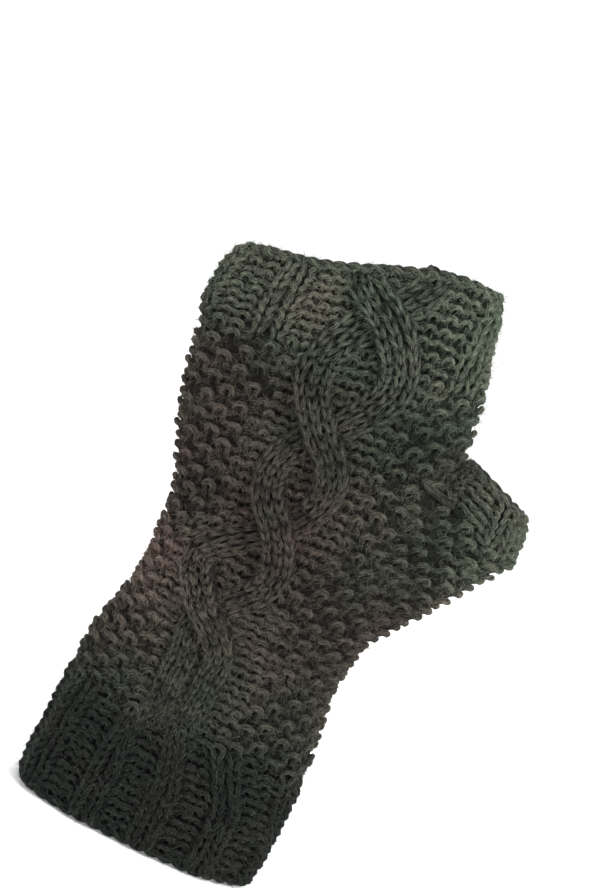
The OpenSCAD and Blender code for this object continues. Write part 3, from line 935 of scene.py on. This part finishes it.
PIECES = [
    ("cast_on_chain", chain(HAND, COLUMNS, -0.1), "cuff", ["cast_on_edge"], "wool_edge"),
    ("cuff_ribbing", closed_rows(CUFF_ROWS), "cuff", ["wrist_rib"], "wool_ribbing"),
    ("forearm_knit", closed_rows(FOREARM_ROWS), "cuff", ["forearm_panel"], "wool_seed_stitch"),
    ("cable_stem_knit", strand_part(FOREARM_ROWS), "cuff", ["cable_stem"], "wool_cable"),
    ("wrist_knit", closed_rows(WRIST_ROWS), "wrist", ["wrist_flex_band"], "wool_seed_stitch"),
    ("wrist_cable_knit", strand_part(WRIST_ROWS), "wrist", ["wrist_cable_crossing"], "wool_cable"),
    ("back_knit", hand_part("back"), "hand", ["back_panel"], "wool_seed_stitch"),
    ("palm_knit", hand_part("palm"), "hand", ["palm_panel"], "wool_seed_stitch"),
    ("crotch_knit", hand_part("side"), "hand", ["thumb_crotch"], "wool_seed_stitch"),
    ("hand_strand_a_knit", strand_part(HAND_ROWS, (-1,)), "hand", ["hand_cable_strand_a"], "wool_cable"),
    ("hand_strand_b_knit", strand_part(HAND_ROWS, (1,)), "hand", ["hand_cable_strand_b"], "wool_cable"),
    ("gusset_knit", gusset_part(), "swing", ["thumb_gusset"], "wool_seed_stitch"),
    ("thumb_ribbing", thumb_part(), "swing", ["thumb_rib"], "wool_ribbing"),
    ("thumb_chain", chain(THUMB, THUMB_COLUMNS, THUMB_ROWS + 0.2), "swing", ["thumb_bind_off"], "wool_edge"),
    ("knuckle_knit", closed_rows(KNUCKLE_ROWS), "knuckle", ["knuckle_flex_band"], "wool_seed_stitch"),
    ("knuckle_cable_knit", strand_part(KNUCKLE_ROWS), "knuckle", ["knuckle_cable_strands"], "wool_cable"),
    ("finger_ribbing", closed_rows(FINGER_ROWS), "fingers", ["finger_rib"], "wool_ribbing"),
    ("finger_cable_knit", strand_part(FINGER_ROWS), "fingers", ["finger_cable_crossing"], "wool_cable"),
    ("finger_chain", chain(HAND, COLUMNS, 60.2), "fingers", ["finger_bind_off"], "wool_edge"),
    ("cast_on_tail", tail_part("cast_on_yarn_tail"), "cuff", ["cast_on_yarn_tail"], "wool_tail"),
    ("finger_tail", tail_part("finger_yarn_tail"), "fingers", ["finger_yarn_tail"], "wool_tail"),
    ("thumb_tail", tail_part("thumb_yarn_tail"), "thumb", ["thumb_yarn_tail"], "wool_tail"),
]
# Loose fibres on a loop
FIBRES = {"wool_seed_stitch": 28, "wool_ribbing": 21, "wool_cable": 9, "wool_edge": 16, "wool_tail": 10}
MOST_FIBRES = 12000  # on one piece


def build_glove():
    for name, yarn, where, nodes, slot in PIECES:
        fasten(mesh_piece(name, yarn, WOOL), where, nodes)
        loops = sum(len(length[0]) for length in yarn.lengths if length[3] is not SHADE_SHEET) / SAMPLES
        count = min(MOST_FIBRES, int(loops * FIBRES[slot]))
        fasten(fuzz_piece("fuzz_" + name, yarn, count, FUZZ), where)


# ---- Stage ----
def plain(name, colour):
    material = bpy.data.materials.new(name)
    material.use_nodes = True
    shader = material.node_tree.nodes["Principled BSDF"]
    shader.inputs["Base Color"].default_value = (*colour, 1)
    shader.inputs["Roughness"].default_value = 0.8
    shader.inputs["Emission Color"].default_value = (1, 1, 1, 1)
    shader.inputs["Emission Strength"].default_value = 0.2
    return material


def floor():
    """A pale floor that curves up into a low bowl all round, so that it has no horizon."""
    radii = [0, 0.5, 1.2] + [1.2 + 1.8 * math.sin(a) for a in np.linspace(0.15, math.pi / 2, 14)]
    rises = [0, 0, 0] + [1.8 * (1 - math.cos(a)) for a in np.linspace(0.15, math.pi / 2, 14)]
    n = 72
    turns = [2 * math.pi * k / n for k in range(n)]
    verts = [(r * math.cos(a), r * math.sin(a), z) for r, z in zip(radii[1:], rises[1:]) for a in turns]
    faces = [list(range(n))]
    for i in range(len(radii) - 2):
        inner, outer = i * n, (i + 1) * n
        for k in range(n):
            nxt = (k + 1) % n
            faces.append([outer + k, outer + nxt, inner + nxt, inner + k])
    mesh = bpy.data.meshes.new("floor")
    mesh.from_pydata(verts, [], faces)
    for p in mesh.polygons:
        p.use_smooth = True
    mesh.materials.append(plain("paper", (0.95, 0.95, 0.95)))
    ground = bpy.data.objects.new("floor", mesh)
    bpy.context.scene.collection.objects.link(ground)


def area_light(name, place, target, size, power):
    data = bpy.data.lights.new(name, "AREA")
    data.size, data.energy = size, power
    light = bpy.data.objects.new(name, data)
    light.location = place
    light.rotation_euler = (Vector(target) - Vector(place)).to_track_quat("-Z", "Y").to_euler()
    bpy.context.scene.collection.objects.link(light)


def studio():
    area_light("key", (0.75, -1.0, 1.05), (0, 0, 0.12), 0.7, 26)
    area_light("fill", (-1.0, -0.9, 0.5), (0, 0, 0.12), 1.2, 7)
    area_light("back", (0.1, 1.2, 0.9), (0, 0, 0.12), 1.0, 12)
    world = bpy.data.worlds.new("studio")
    world.use_nodes = True
    background = world.node_tree.nodes["Background"]
    background.inputs["Color"].default_value = (1, 1, 1, 1)
    background.inputs["Strength"].default_value = 0.55
    bpy.context.scene.world = world
    bpy.context.scene.view_settings.view_transform = "Standard"


def camera():
    """The photo's view: square to the back of the hand, a little from above, with the glove leaning right."""
    lens, seen, up_angle, lean = 85, 301 * MM, math.radians(6), math.radians(26)
    data = bpy.data.cameras.new("camera")
    data.lens, data.sensor_width = lens, 36
    eye = bpy.data.objects.new("camera", data)
    ahead = Vector((0, math.cos(up_angle), -math.sin(up_angle)))
    target = Vector((-5.85 * MM, 0, 145.25 * MM))
    eye.location = target - ahead * (lens / 36 * seen)
    eye.rotation_mode = "QUATERNION"
    level = ahead.to_track_quat("-Z", "Y")
    eye.rotation_quaternion = Quaternion(ahead, -lean) @ level
    bpy.context.scene.collection.objects.link(eye)
    bpy.context.scene.camera = eye


build_glove()
floor()
studio()
camera()
